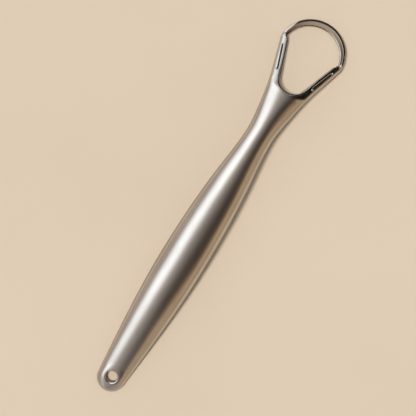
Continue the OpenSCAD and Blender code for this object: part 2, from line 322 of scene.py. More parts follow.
def solid(name, points, faces):
    """A closed mesh object with its faces turned outwards. Points are in the CAD's frame."""
    mesh = bpy.data.meshes.new(name)
    mesh.from_pydata(np.asarray(points).reshape(-1, 3).tolist(), [], faces)
    bm = bmesh.new()
    bm.from_mesh(mesh)
    bmesh.ops.recalc_face_normals(bm, faces=bm.faces)
    bm.to_mesh(mesh)
    bm.free()
    return link(name, mesh)


SLIVER = 2e-7  # points closer together than this become one, in metres


def cut(obj, cutters):
    """Takes the cutters out of obj, removes them, and clears the slivers that they leave."""
    for cutter in cutters:
        mod = obj.modifiers.new("cut", "BOOLEAN")
        mod.operation, mod.solver, mod.object = "DIFFERENCE", "EXACT", cutter
    graph = bpy.context.evaluated_depsgraph_get()
    mesh = bpy.data.meshes.new_from_object(obj.evaluated_get(graph))
    obj.modifiers.clear()
    bm = bmesh.new()
    bm.from_mesh(mesh)
    bmesh.ops.remove_doubles(bm, verts=bm.verts, dist=SLIVER)
    bmesh.ops.dissolve_degenerate(bm, edges=bm.edges, dist=SLIVER)
    bm.to_mesh(mesh)
    bm.free()
    old, obj.data = obj.data, mesh
    bpy.data.meshes.remove(old)
    for cutter in cutters:
        discard(cutter)


SHARP_FROM = math.radians(32)  # edges that turn by more than this stay sharp


def finish_piece(obj, node, material):
    """Gives a piece its material and shading, and puts it in the place of its CAD node."""
    obj.data.materials.clear()
    obj.data.materials.append(material)
    obj.data.shade_smooth()
    obj.data.set_sharp_from_angle(angle=SHARP_FROM)
    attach(obj, "root")
    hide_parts(node)


def smooth_share(x):
    """An eased step from 0 to 1 as x goes from 0 to 1."""
    x = np.clip(x, 0, 1)
    return x * x * (3 - 2 * x)


def full_turn(count):
    """Angles all round, without the last, which is the first again."""
    return np.linspace(0, 2 * math.pi, count, endpoint=False)


def quarter(w, t, n, m, low=0.0):
    """m + 1 points of a superellipse from height low to its crest, closer where it turns."""
    a = np.linspace(0, math.pi / 2, CURVE_POINTS)
    y, z = w * np.cos(a) ** (2 / n), t * np.sin(a) ** (2 / n)
    keep = z > low
    y = np.concatenate([[w * (1 - (low / t) ** n) ** (1 / n)], y[keep]])
    z = np.concatenate([[low], z[keep]])
    y[-1] = 0.0
    dy, dz = np.diff(y), np.diff(z)
    length = np.concatenate([[0], np.cumsum(np.hypot(dy, dz))])
    heading = np.unwrap(np.arctan2(dz, dy))
    turn = np.concatenate([[0], np.cumsum(np.abs(np.diff(heading, prepend=heading[0])))])
    key = length / length[-1] + turn / turn[-1]
    at = np.linspace(0, key[-1], m + 1)
    return np.interp(at, key, y), np.interp(at, key, z)


def both_sides(y, z):
    """Points from the left up to the middle, and on down to the right."""
    return np.concatenate([y, -y[-2::-1]]), np.concatenate([z, z[-2::-1]])


# Handle

def half_section(s, inset, eased=True):
    """Across one half of the handle, from the left seam over the crest to the right seam."""
    w, t, n = half_w(s, inset), half_t(s, inset), squareness(s)
    r = min(SEAM_R, SEAM_R_SHARE * t, SEAM_R_SHARE * w)
    y, z = quarter(w, t, n, SHELL_QUARTER, r)
    zs = np.array(SEAM_POINTS) * r
    ys = w * (1 - (zs / t) ** n) ** (1 / n)
    if eased:
        ys = ys - (r - np.sqrt(r * r - (r - zs) ** 2))
    return both_sides(np.concatenate([ys, y]), np.concatenate([zs, z]))


def shell_rows():
    """Fine stations of the shells, closer together round the tail: where the section is taken,
    and where it stands."""
    tip = TAIL_R * (1 - math.cos(CAD_NOSE_FROM))
    nose = [TAIL_R * (1 - math.cos(a)) for a in
            np.linspace(NOSE_ROWS_FROM, math.pi / 2 - TAIL_SPREAD, NOSE_ROWS)[:-1]]
    nose = [(s, s + tip * (1 - s / NOSE_END) ** 2) for s in nose]
    body = np.concatenate([np.linspace(NOSE_END, TAIL_ROWS_TO, TAIL_ROWS)[:-1],
                           np.linspace(TAIL_ROWS_TO, SHELL_END - LAST_ROW, BODY_ROWS),
                           [SHELL_END]])
    return nose + [(s, s) for s in body]


def flattened(at, s, y, z):
    """The shell's height, flatter across near the hanging hole."""
    out = np.hypot(at - HOLE_AT, y) - HOLE_FLAT[0]
    near = 1 - smooth_share(out / (HOLE_FLAT[1] - HOLE_FLAT[0]))
    return z + HOLE_FLAT_SHARE * near * np.maximum(0, half_t(s) - z)


def half_shell(name, side):
    """One pressed half of the hollow handle: side is 1 in front, -1 behind."""
    outer, inner = [], []
    for s, at in shell_rows():
        y, z = half_section(s, 0.0)
        outer.append(on_spine(at, y, side * flattened(at, s, y, z)))
        s_in = SHELL_WALL + s * (1 - SHELL_WALL / BELLY_AT) if s < BELLY_AT else s
        y, z = half_section(s_in, SHELL_WALL, eased=False)
        inner.append(on_spine(s_in, y, side * z))
    rows, cols = len(outer), len(outer[0])
    inside, last = rows * cols, (rows - 1) * cols
    faces = grid(rows, cols) + grid(rows, cols, inside)
    for seam in (0, cols - 1):
        faces += strip(range(seam, inside, cols), range(inside + seam, 2 * inside, cols))
    faces += strip(range(last, inside), range(inside + last, 2 * inside))
    faces += [tuple(range(cols)), tuple(range(inside, inside + cols)),
              (0, cols - 1, inside + cols - 1, inside)]
    shell = solid(name, at_rest(outer + inner), faces)
    cut(shell, [hole_cutter()])
    return shell


def hole_cutter():
    """The round hole that the eyelet sits in."""
    r, a = BORE_D / 2 + EYELET_WALL + ROUND_GAP, full_turn(AROUND)
    rings = [np.stack([HOLE_AT + r * np.cos(a), r * np.sin(a), np.full(AROUND, z)], axis=-1)
             for z in (-TAIL_T, TAIL_T)]
    return solid("hole_cutter", at_rest(np.concatenate(rings)), capped(2, AROUND))


def lathe(name, profile, place, around, ease):
    """A closed profile of (radius, height) turned about an axis. ease changes radii and heights
    by the angle, and place maps x, y, z to the CAD's frame."""
    a = full_turn(around)
    r, h = np.asarray(profile, float).T
    r, h = ease(r[:, None] * np.ones(around), h[:, None] * np.ones(around), a[None, :])
    faces = grid(len(profile), around, closed_rows=True, closed_cols=True)
    return solid(name, place(r * np.cos(a), r * np.sin(a), h), faces)


def eyelet():
    """The short tube that lines the hanging hole, with rounded mouths flush with the shells."""
    bore, out, edge = BORE_D / 2, BORE_D / 2 + EYELET_WALL, EYELET_RIM_R
    end = half_t(HOLE_AT - bore - EYELET_WALL)
    mouth = [(bore + EYELET_WALL * (1 - math.cos(a)), end - EYELET_MOUTH * (1 - math.sin(a)))
             for a in np.linspace(0, math.pi / 2 - EYELET_MOUTH_STOP, EYELET_MOUTH_ROWS)]
    rim = [(out - edge * (1 - math.sin(a)), end - edge * (1 - math.cos(a)))
           for a in np.linspace(0, math.pi / 2, SMALL_ARC)]
    top = mouth + rim
    profile = top + [(r, -z) for r, z in reversed(top)]

    def flush(r, h, a):
        """Lifts each mouth to the shell's face all round."""
        face = np.zeros(a.shape[1])
        for k, angle in enumerate(a[0]):
            s, y = HOLE_AT + out * math.cos(angle), out * math.sin(angle)
            face[k] = flattened(s, s, np.array([y]), np.array([front_z(s, y)]))[0]
        rise = (np.abs(h) - EYELET_FLUSH_FROM) / (end - EYELET_MOUTH - EYELET_FLUSH_FROM)
        return r, h + np.sign(h) * (face - end)[None, :] * smooth_share(rise)

    return lathe("hanging_eyelet_fine", profile,
                 lambda x, y, z: at_rest(np.stack([HOLE_AT + x, y, z], axis=-1)), AROUND, flush)


# Fork

TIP_HALF_W = LOOP_R - BAND_T - SHOULDER_STEP
LEG = (math.acos(CROTCH_R / math.hypot(TIP_HALF_W, CROTCH_BACK + TIP_RISE))
       - math.atan2(CROTCH_BACK + TIP_RISE, TIP_HALF_W))
TACK_ALONG = JOINT_FROM_TIP + JOINT_LENGTH
JOINT_FLOOR = HEAD_T / 2 - JOINT_DEPTH


def leg_v(u, d):
    """v of a line beside the leg, d outside the band's inner face."""
    return (CROTCH_R + d) / math.cos(LEG) + (u + CROTCH_BACK) * math.tan(LEG)


def leg_uv(x, y):
    """u and v in the leg's joint frame: x from the arm's tip down the leg, and y outwards."""
    u = TIP_RISE - x * math.cos(LEG) - y * math.sin(LEG)
    v = leg_v(TIP_RISE, BAND_T) - x * math.sin(LEG) + y * math.cos(LEG)
    return u, v


def arm_z(x, y):
    """Height of the arm's front face in the leg's joint frame."""
    u, v = leg_uv(x, y)
    return front_z(min(LOOP_AT + u, TIP_AT), v)


def in_leg(side, x, y, z):
    """Points of one leg's joint frame: side is 1 on the left, -1 on the right."""
    u, v = leg_uv(x, y)
    return in_head(u, side * v, z)


def full_section(s, inset):
    """All round the solid fork."""
    y, z = both_sides(*quarter(half_w(s, inset), half_t(s, inset), squareness(s), FORK_QUARTER))
    return np.concatenate([y, y[-2:0:-1]]), np.concatenate([z, -z[-2:0:-1]])


def seat_cutter():
    """The space of the band in the fork, with an eased mouth in front and behind."""
    levels = [(-z, BAND_T + d) for z, d in reversed(MOUTH)] + [(z, BAND_T + d) for z, d in MOUTH]
    a = np.linspace(math.pi / 2 + LEG, math.pi, SEAT_POINTS)
    points = []
    for z, d in levels:
        r = CROTCH_R + d
        u = np.concatenate([[TIP_RISE + SEAT_PAST], -CROTCH_BACK + r * np.cos(a)])
        v = np.concatenate([[leg_v(TIP_RISE + SEAT_PAST, d)], r * np.sin(a)])
        v, u = both_sides(v, u)
        points.append(in_head(u, v, z))
    return solid("seat_cutter", at_rest(np.concatenate(points)), capped(len(levels), len(u)))


def slit_cutter(side):
    """The open joint beside the band, with rounded ends and an eased mouth."""
    a, r = np.linspace(0, math.pi / 2, SMALL_ARC), SLIT_END_R
    levels = [(JOINT_FLOOR, 0.0, 0), *((z, g, 1) for z, g in SLIT_MOUTH), (HEAD_T, SLIT_TOP, 0)]
    points = []
    for level, g, on_face in levels:
        x0, x1, y1 = JOINT_FROM_TIP - g, JOINT_FROM_TIP + JOINT_LENGTH + g, JOINT_W + g
        x = np.concatenate([[x1], x1 - r + r * np.cos(a),
                            np.linspace(x1 - r, x0 + r, SLIT_POINTS + 2)[1:-1],
                            x0 + r - r * np.sin(a), [x0]])
        y = np.concatenate([[-SLIT_IN], y1 - r + r * np.sin(a), np.full(SLIT_POINTS, y1),
                            y1 - r + r * np.cos(a), [-SLIT_IN]])
        points.append(in_leg(side, x, y, [level + on_face * arm_z(k, JOINT_W) for k in x]))
    return solid("slit_cutter", at_rest(np.concatenate(points)), capped(len(levels), len(x)))


def tack_cutter(side):
    """The tack's pocket, a touch deeper than the joint and open to the seat, so that no walls
    coincide."""
    a = full_turn(TACK_AROUND)
    y = TACK_D / 2 + TACK_D / 2 * np.sin(a)
    y[y < TACK_BREACH] = -TACK_BREACH
    rings = [in_leg(side, TACK_ALONG + TACK_D / 2 * np.cos(a), y, z)
             for z in (JOINT_FLOOR - ROUND_GAP, HEAD_T)]
    return solid("tack_cutter", at_rest(np.concatenate(rings)), capped(2, TACK_AROUND))


def fork():
    """The solid forked head with its tang, its seat for the band and its two open joints."""
    rows = [(TANG_AT, SHELL_WALL + TANG_GAP), (SHELL_END, SHELL_WALL + TANG_GAP)]
    rows += [(s, 0.0) for s in np.linspace(SHELL_END, TIP_AT, FORK_ROWS)]
    points = [on_spine(s, *full_section(s, inset)) for s, inset in rows]
    piece = solid("head_fork_fine", at_rest(np.concatenate(points)),
                  capped(len(rows), len(points[0])))
    cut(piece, [seat_cutter()] + [f(side) for side in (-1, 1) for f in (slit_cutter, tack_cutter)])
    return piece


# Band

def lower_path(d):
    """Round the foot and up one leg, moved out by d from the band's inside."""
    a = np.linspace(math.pi, math.pi / 2 + LEG, FOOT_N + 1)
    r = CROTCH_R + d
    foot = np.stack([-CROTCH_BACK + r * np.cos(a), r * np.sin(a)], axis=-1)
    u = np.linspace(foot[-1][0], STEP_FROM, LEG_N + 1)[1:]
    return np.concatenate([foot, np.stack([u, [leg_v(k, d) for k in u]], axis=-1)])


def inside_path(d):
    """Half of the band's inside: foot, leg, a smooth step outwards, and the arc."""
    low = lower_path(d)
    r = LOOP_R - BAND_T + d
    a, b = low[-1], np.array([STEP_TO, math.sqrt(r * r - STEP_TO ** 2)])
    from_a = np.array([math.cos(LEG), math.sin(LEG)])
    to_b = np.array([b[1], -b[0]]) / r
    pull = STEP_PULL * np.linalg.norm(b - a)
    a2, b2 = a + pull * from_a, b - pull * to_b
    x = np.linspace(0, 1, STEP_N + 1)[1:, None]
    step = (1 - x) ** 3 * a + 3 * x * (1 - x) ** 2 * a2 + 3 * x * x * (1 - x) * b2 + x ** 3 * b
    turn = np.linspace(math.atan2(b[1], b[0]), 0, ARC_N + 1)[1:]
    return np.concatenate([low, step, np.stack([r * np.cos(turn), r * np.sin(turn)], axis=-1)])


def at_shoulder(at):
    """1 where the inner front edge has its bevel at the shoulders, by the point's number."""
    past = at - FOOT_N - LEG_N
    return (smooth_share((past + SHOULDER_N / 2) / SHOULDER_N)
            * (1 - smooth_share((past - SHOULDER_N) / (STEP_N - SHOULDER_N))))


def outside_rows(lift):
    """Half of the band's outside as (u, v, z): foot, leg, shoulder over the arm's tip, and arc.
    lift goes from 0 at the foot of the front edge's rounding to 1 at its top."""
    half, turn = BAND_DEPTH / 2, lift * math.pi / 2
    rise, draw = 1 - math.sin(turn), 1 - math.cos(turn)

    # Foot and leg: rounded beside the open joint, and all but sharp where the joint is closed
    low = lower_path(BAND_T)
    down = (TIP_RISE - low[:, 0]) / math.cos(LEG)
    open_joint = (smooth_share((down - JOINT_FROM_TIP) / JOINT_FADE)
                  * smooth_share((JOINT_FROM_TIP + JOINT_LENGTH - down) / JOINT_FADE))
    edge = CLOSED_R + (BAND_OUTER_R - CLOSED_R) * open_joint
    pull = np.array([lower_path(BAND_T - e * draw)[i] for i, e in enumerate(edge)])
    lower = np.stack([pull[:, 0], pull[:, 1], half - edge * rise], axis=-1)

    # Arc: how wide its edge is, on the arm's face first, then as a bevel, then as a rounding
    brow = math.acos(TIP_RISE / LOOP_R)
    end = math.atan2(math.sqrt((LOOP_R - BAND_T) ** 2 - STEP_TO ** 2), STEP_TO)
    a = np.concatenate([np.linspace(brow, end, STEP_N - OVER_N),
                        np.linspace(end, 0, ARC_N + 1)[1:]])
    on_face = 1 - smooth_share((brow - a) / FACE_FADE)
    bevelled = 1 - smooth_share((brow - a - BEVEL_KEEP) / BEVEL_FADE)
    first = len(low) + OVER_N
    inside = inside_path(0.0)
    thick = np.hypot(*(LOOP_R * np.stack([np.cos(a), np.sin(a)]) - inside[first:].T))
    inner = (SHOULDER_IN_R - BAND_FRONT_R) * at_shoulder(np.arange(first, len(inside)))
    w = ARC_EDGE_W + (BEVEL_SHARE * thick - ARC_EDGE_W) * bevelled
    w += (SHOULDER_W - w) * on_face
    w = np.minimum(w, thick - BAND_FRONT_R - inner - FLAT_W)

    # and how high
    r = LOOP_R - w * draw
    crest = front_z(TIP_AT, LOOP_R - SHOULDER_W)
    face = np.array([front_z(TIP_AT, k) for k in r])
    face = face + (half - crest) * (face / crest) ** 2
    bevel = (half - BEVEL_SLOPE * w * (1 - draw)
             - BEVEL_EDGE * (1 - math.sqrt(1 - max(0.0, 1 - draw / BEVEL_EDGE_SHARE) ** 2)))
    z = (half - ARC_EDGE_H * rise) * (1 - bevelled) + bevel * bevelled
    z = z * (1 - on_face) + face * on_face
    upper = np.stack([r * np.cos(a), r * np.sin(a), z], axis=-1)

    # Over the arm's tip, from the leg's corner to the arc
    corner = np.array([TIP_RISE, leg_v(TIP_RISE, BAND_T - edge[-1] * draw), half - edge[-1] * rise])
    x = np.linspace(0, 1, OVER_N + 1)[:-1, None]
    over = corner + (np.array([TIP_RISE, upper[0][1], upper[0][2]]) - corner) * x
    over[:, 2] = corner[2] + (upper[0][2] - corner[2]) * x[:, 0] ** 2
    return np.concatenate([lower, over, upper])


def crowned(row):
    """Lowers the front of the band to the arms' face, less and less round the arc."""
    row = row.copy()
    for k, (u, v, z) in enumerate(row):
        if z > 0:
            across = min(v, leg_v(min(u, TIP_RISE), BAND_T))
            low = max(0.0, BAND_DEPTH / 2 - front_z(min(LOOP_AT + u, TIP_AT), across))
            left = 1 - smooth_share((u - TIP_RISE) / CROWN_FADE)
            row[k, 2] -= low * left * min(1.0, 2 * z / BAND_DEPTH) ** 2
    return row


def inner_profile():
    """The band's inner face as (z, how far it stands in), from behind to the front: slope,
    ledge and land."""
    half, step = BAND_DEPTH / 2, LAND_IN + LEDGE_W
    behind = [(z, BAND_SLOPE + (step - BAND_SLOPE) * (z + half) / (LEDGE_Z + half))
              for z in np.linspace(-half + BAND_BACK_R, LEDGE_Z - LEDGE_RUN, BAND_SLOPE_ROWS)]
    ledge = [(LEDGE_Z + dz, step + d) for dz, d in LEDGE_BACK]
    ledge += [(LEDGE_Z + dz, LAND_IN + d) for dz, d in LEDGE_FRONT]
    land = [(z, LAND_IN * (half - z) / (half - LEDGE_Z))
            for z in np.linspace(LAND_FROM, half - BAND_FRONT_R, BAND_LAND_ROWS)]
    return behind + ledge + land


def flat(path, z):
    """A path at one height, or at a height for each of its points."""
    return np.column_stack([path, z + np.zeros(len(path))])


def band():
    """The thin closed strip: a land inside its front edge, a slope behind it, and all its edges
    rounded."""
    half = BAND_DEPTH / 2
    bow = np.linspace(0, math.pi / 2, BAND_EDGE_ROWS)
    profile = inner_profile()
    at = np.arange(len(inside_path(0.0)))[:, None]
    foot = 1 - smooth_share((at - FOOT_N) / FOOT_FADE_N)
    shoulder = at_shoulder(at)
    round_arc = smooth_share((at - FOOT_N - LEG_N - STEP_N) / ARC_FADE_N)

    def rounded(r, a, more=0.0):
        """A row of the inner front edge's rounding."""
        path = inside_path(r * (1 - math.cos(a)) - profile[-1][1] - more)
        return flat(path, half - r * (1 - math.sin(a)))

    def chamfered(a):
        """The same where the edge is a bevel."""
        up = a / (math.pi / 2)
        path = inside_path(SHOULDER_IN_R * up - profile[-1][1])
        return flat(path, half - SHOULDER_IN_DROP * (1 - up))

    leg, arc = 1 - foot - shoulder - round_arc * (1 - shoulder), round_arc * (1 - shoulder)
    rows = [rounded(BAND_FRONT_R, a) * leg + rounded(FOOT_R, a) * foot
            + chamfered(a) * shoulder + rounded(BAND_FRONT_R, a, ARC_IN) * arc for a in bow[1:]]
    top = outside_rows(1.0)
    rows += [rows[-1] * (1 - x) + top * x for x in BAND_TOP_ROWS]
    rows += [outside_rows(lift) for lift in np.linspace(1, 0, BAND_OUTER_ROWS)]
    low = outside_rows(0.0)
    for a in bow:
        row = low.copy()
        row[:, :2] *= 1 - (BAND_HEEL_R * (1 - math.cos(a)) / LOOP_R)
        row[:, 2] = -half + BAND_HEEL_R * (1 - math.sin(a))
        rows.append(row)
    for a in bow[::-1]:
        path = inside_path(BAND_BACK_R * (1 - math.cos(a)) - profile[0][1])
        rows.append(flat(path, -half + BAND_BACK_R * (1 - math.sin(a))))
    drop = (FOOT_R - BAND_FRONT_R) * foot + (SHOULDER_IN_DROP - BAND_FRONT_R) * shoulder
    for z, inset in profile[1:]:
        up = max(0.0, (z - LEDGE_Z) / (half - LEDGE_Z))
        on_land = max(0.0, (z - LAND_FROM) / (half - BAND_FRONT_R - LAND_FROM))
        at_z = z - drop[:, 0] * on_land
        rows.append(flat(inside_path(-inset), at_z) * (1 - round_arc)
                    + flat(inside_path(-inset - ARC_IN * up), at_z) * round_arc)
    points = []
    for row in map(crowned, rows):
        loop = np.concatenate([row, row[-2:0:-1] * [1, -1, 1]])
        points.append(in_head(loop[:, 0], loop[:, 1], loop[:, 2]))
    faces = grid(len(rows), len(points[0]), closed_rows=True, closed_cols=True)
    return solid("scraper_band_fine", at_rest(np.concatenate(points)), faces)


# Tack welds

# Ripples round a bead, their size, and how much of them its side and its top show
BEAD_SEED, BEAD_WAVES, BEAD_SWELL = 7, (2, 3, 5), (0.01, 0.03)
BEAD_SIDE_SHARE, BEAD_TOP_SHARE = 0.6, 0.9
# Radius in mm at which a bead's underside stops short of its axis, the angle at which its dome
# does, and the dome's rows
BEAD_AXIS_R, BEAD_TOP_STOP, BEAD_ROWS = 0.02, 0.04, 12


def tacks():
    """Two rippled weld beads at the feet of the open joints."""
    tack_at = TIP_AT - TACK_ALONG * math.cos(LEG)
    n = squareness(tack_at)
    side_share = (leg_v(tack_at - LOOP_AT, BAND_T) + TACK_D / 2) / half_w(tack_at)
    top = half_t(tack_at) * (1 - side_share ** n) ** (1 / n)
    r = TACK_D / 2 - ROUND_GAP
    dome_h = r / 2
    dome = [(r * math.cos(a), top + dome_h * math.sin(a))
            for a in np.linspace(0, math.pi / 2 - BEAD_TOP_STOP, BEAD_ROWS)]
    profile = [(BEAD_AXIS_R, JOINT_FLOOR), (r, JOINT_FLOOR)] + dome
    bm = bmesh.new()
    for side in (-1, 1):
        rng = np.random.default_rng(BEAD_SEED + side)
        waves = [(k, rng.uniform(*BEAD_SWELL), rng.uniform(0, 2 * math.pi)) for k in BEAD_WAVES]

        def ripple(rad, h, a):
            """Draws in the bead's side and ripples its top."""
            up = np.clip((h - top) / dome_h, 0, 1)
            swell = sum(size * np.sin(k * a + phase) for k, size, phase in waves)
            return (rad * (1 - BEAD_SIDE_SHARE * np.abs(swell) * (1 - up)),
                    h + r * BEAD_TOP_SHARE * swell * up * (1 - up))

        bead = lathe("tack", profile, lambda x, y, z, side=side: at_rest(
            in_leg(side, TACK_ALONG + x, TACK_D / 2 + y, z)), BEAD_AROUND, ripple)
        bm.from_mesh(bead.data)
        discard(bead)
    mesh = bpy.data.meshes.new("tack_welds_fine")
    bm.to_mesh(mesh)
    bm.free()
    return link("tack_welds_fine", mesh)


# Materials

class Nodes:
    """A short way to write a node tree."""

    def __init__(self, owner):
        owner.use_nodes = True
        self.tree = owner.node_tree
        self.tree.nodes.clear()

    def add(self, kind, inputs=None, **settings):
        node = self.tree.nodes.new(kind)
        for key, value in settings.items():
            setattr(node, key, value)
        for key, value in (inputs or {}).items():
            socket = node.inputs[key]
            if isinstance(value, bpy.types.NodeSocket):
                self.tree.links.new(value, socket)
            else:
                socket.default_value = value
        return node

    def math(self, operation, *values):
        return self.add("ShaderNodeMath", dict(enumerate(values)), operation=operation).outputs[0]

    def plus(self, a, b):
        return self.math("ADD", a, b)

    def minus(self, a, b):
        return self.math("SUBTRACT", a, b)

    def times(self, a, b):
        return self.math("MULTIPLY", a, b)

    def noise(self, at, scale, detail, roughness=0.5):
        return self.add("ShaderNodeTexNoise", {"Vector": at, "Scale": scale, "Detail": detail,
                                               "Roughness": roughness}).outputs["Fac"]

    def stretched(self, at, scales, detail, roughness=0.5):
        """Noise with its own scale along each axis."""
        at = self.add("ShaderNodeMapping", {"Vector": at, "Scale": scales}).outputs[0]
        return self.noise(at, 1.0, detail, roughness)

    def remap(self, value, a, b, c, d, smooth=False):
        return self.add("ShaderNodeMapRange", {"Value": value, "From Min": a, "From Max": b,
                                               "To Min": c, "To Max": d},
                        interpolation_type="SMOOTHSTEP" if smooth else "LINEAR").outputs[0]

    def mix(self, fac, a, b):
        node = self.add("ShaderNodeMix", data_type="RGBA")
        for socket, value in ((node.inputs[0], fac), (node.inputs[6], a), (node.inputs[7], b)):
            if isinstance(value, bpy.types.NodeSocket):
                self.tree.links.new(value, socket)
            else:
                socket.default_value = value if socket is node.inputs[0] else (*value, 1.0)
        return node.outputs[2]

    def tinted(self, value, limits, color, tints):
        """A colour that runs between two shares of itself as value runs between the limits."""
        return self.mix(self.remap(value, *limits, 0, 1), *(shade(color, k) for k in tints))

    def bump(self, height, strength, distance, **more):
        return self.add("ShaderNodeBump", {"Height": height, "Strength": strength,
                                           "Distance": distance, **more}).outputs[0]


def shade(color, k):
    """A colour made darker or lighter, up to 1."""
    return tuple(min(1, c * k) for c in color)


# Colours, as the base and the shares of it that the noise runs between
SATIN_COLOR, SATIN_TINTS = (0.62, 0.59, 0.56), (0.93, 1.05)
POLISH_COLOR, POLISH_TINTS = (0.66, 0.64, 0.61), (1, 0.96)
# Tint of the steel's reflection at grazing angles, dark and brown: painted shade that darkens the
# outlines of every piece
PAINTED_EDGE_SHADE_TINT = (0.25, 0.20, 0.16, 1)
# Roughness, and how far the brushing, the uneven brushing and the smudges move it
SATIN_ROUGH, LINE_ROUGH, BROAD_ROUGH = 0.17, 0.02, 0.012
POLISH_ROUGH, SMUDGE_ROUGH = 0.09, (-0.02, 0.05)
# Scales of the brushing and the uneven brushing, of the smudges, and of the polish's grain
LINE_SCALES, BROAD_SCALES = (18, 2600, 2600), (60, 160, 160)
SMUDGE_SCALE, GRAIN_SCALE = 420, 1500
# The range of a noise's values that is put to use
BROAD_RANGE, LINE_RANGE = (0.3, 0.7), (0.25, 0.75)
SMUDGE_RANGE, SMUDGE_ROUGH_RANGE = (0.35, 0.7), (0.35, 0.75)
SATIN_BUMP, POLISH_BUMP, BUMP_DEPTH = 0.05, 0.03, 0.00001
# In metres along x: where the fork's satin runs into its polish, how much a smudge moves that,
# and where the polish starts to lean and leans fully
POLISH_FROM, POLISH_RAGGED = (0.0495, 0.0545), 0.0007
FORK_LEAN, BAND_LEAN, HEAD_LEAN = (0.0500, 0.0535), (0.0475, 0.0525), math.radians(11)


def steel(name, polish, lean_from=None):
    """Stainless steel: polish is 0 for satin all over, 1 for polished, or None where one runs
    into the other. lean_from is where the face starts to tilt towards the tip, as the wheel
    leaves it."""
    mat = bpy.data.materials.new(name)
    n = Nodes(mat)
    at = n.add("ShaderNodeTexCoord").outputs["Object"]
    x = n.add("ShaderNodeSeparateXYZ", {"Vector": at}).outputs[0]
    lines = n.stretched(at, LINE_SCALES, 3)
    broad = n.stretched(at, BROAD_SCALES, 4, 0.6)
    smudge = n.noise(at, SMUDGE_SCALE, 4, 0.6)
    satin = n.tinted(broad, BROAD_RANGE, SATIN_COLOR, SATIN_TINTS)
    bright = n.tinted(smudge, SMUDGE_RANGE, POLISH_COLOR, POLISH_TINTS)
    satin_rough = n.plus(
        n.remap(lines, *LINE_RANGE, SATIN_ROUGH - LINE_ROUGH, SATIN_ROUGH + LINE_ROUGH),
        n.remap(broad, *BROAD_RANGE, -BROAD_ROUGH, BROAD_ROUGH))
    bright_rough = n.remap(smudge, *SMUDGE_ROUGH_RANGE, *(POLISH_ROUGH + k for k in SMUDGE_ROUGH))
    if polish is None:
        ragged = n.plus(x, n.remap(smudge, 0, 1, -POLISH_RAGGED, POLISH_RAGGED))
        fac = n.remap(ragged, *POLISH_FROM, 0, 1, True)
        color = n.mix(fac, satin, bright)
        rough = n.plus(n.times(satin_rough, n.minus(1.0, fac)), n.times(bright_rough, fac))
        height = n.times(lines, n.minus(1.0, fac))
    else:
        color, rough = (bright, bright_rough) if polish else (satin, satin_rough)
        height = n.noise(at, GRAIN_SCALE, 2) if polish else lines
    normal = n.bump(height, POLISH_BUMP if polish else SATIN_BUMP, BUMP_DEPTH)
    if lean_from:
        grow = lean_from[1] - lean_from[0]
        along = n.math("MAXIMUM", n.minus(x, lean_from[0]), 0.0)
        start = n.math("MINIMUM", along, grow)
        drop = n.plus(n.times(n.times(start, start), 0.5 / grow), n.minus(along, start))
        normal = n.bump(n.times(drop, -math.tan(HEAD_LEAN)), 1.0, 1.0, Normal=normal)
    # The dark specular tint is painted shade along the steel's outlines
    shader = n.add("ShaderNodeBsdfPrincipled", {
        "Base Color": color, "Metallic": 1.0, "Roughness": rough, "Specular Tint": PAINTED_EDGE_SHADE_TINT,
        "Normal": normal})
    n.add("ShaderNodeOutputMaterial", {"Surface": shader.outputs[0]})
    return mat


FLOOR_COLOR, FLOOR_TINTS = (0.735, 0.62, 0.495), (0.97, 1.02)
FLOOR_ROUGH, FLOOR_SHINE = (0.7, 0.8), 0.2
FLOOR_BROAD_SCALE, FLOOR_GRAIN_SCALE = 9, 700
FLOOR_BUMP, FLOOR_BUMP_DEPTH = 0.12, 0.0001


def floor_material():
    """Pale and matt, with a fine grain."""
    mat = bpy.data.materials.new("pale_floor")
    n = Nodes(mat)
    at = n.add("ShaderNodeTexCoord").outputs["Object"]
    broad = n.noise(at, FLOOR_BROAD_SCALE, 4, 0.55)
    grain = n.noise(at, FLOOR_GRAIN_SCALE, 3, 0.6)
    shader = n.add("ShaderNodeBsdfPrincipled", {
        "Base Color": n.tinted(broad, BROAD_RANGE, FLOOR_COLOR, FLOOR_TINTS),
        "Roughness": n.remap(grain, *BROAD_RANGE, *FLOOR_ROUGH),
        "Specular IOR Level": FLOOR_SHINE,
        "Normal": n.bump(grain, FLOOR_BUMP, FLOOR_BUMP_DEPTH)})
    n.add("ShaderNodeOutputMaterial", {"Surface": shader.outputs[0]})
    return mat


# Stage, light and camera

# Rings of the floor as (radius, height), in metres
FLOOR_RINGS = ((0.2, 0.0), (0.6, 0.0), (1.4, 0.0), (2.6, 0.0), (2.62, -0.004), (2.62, -0.02))


def stage_floor():
    """A wide pale floor with a gentle edge, which the tool lies on."""
    a = full_turn(FLOOR_AROUND)
    points = [np.stack([r * np.cos(a), r * np.sin(a), np.full(FLOOR_AROUND, z)], axis=-1)
              for r, z in FLOOR_RINGS]
    floor = solid("floor", np.concatenate(points), capped(len(FLOOR_RINGS), FLOOR_AROUND))
    floor.data.materials.append(floor_material())


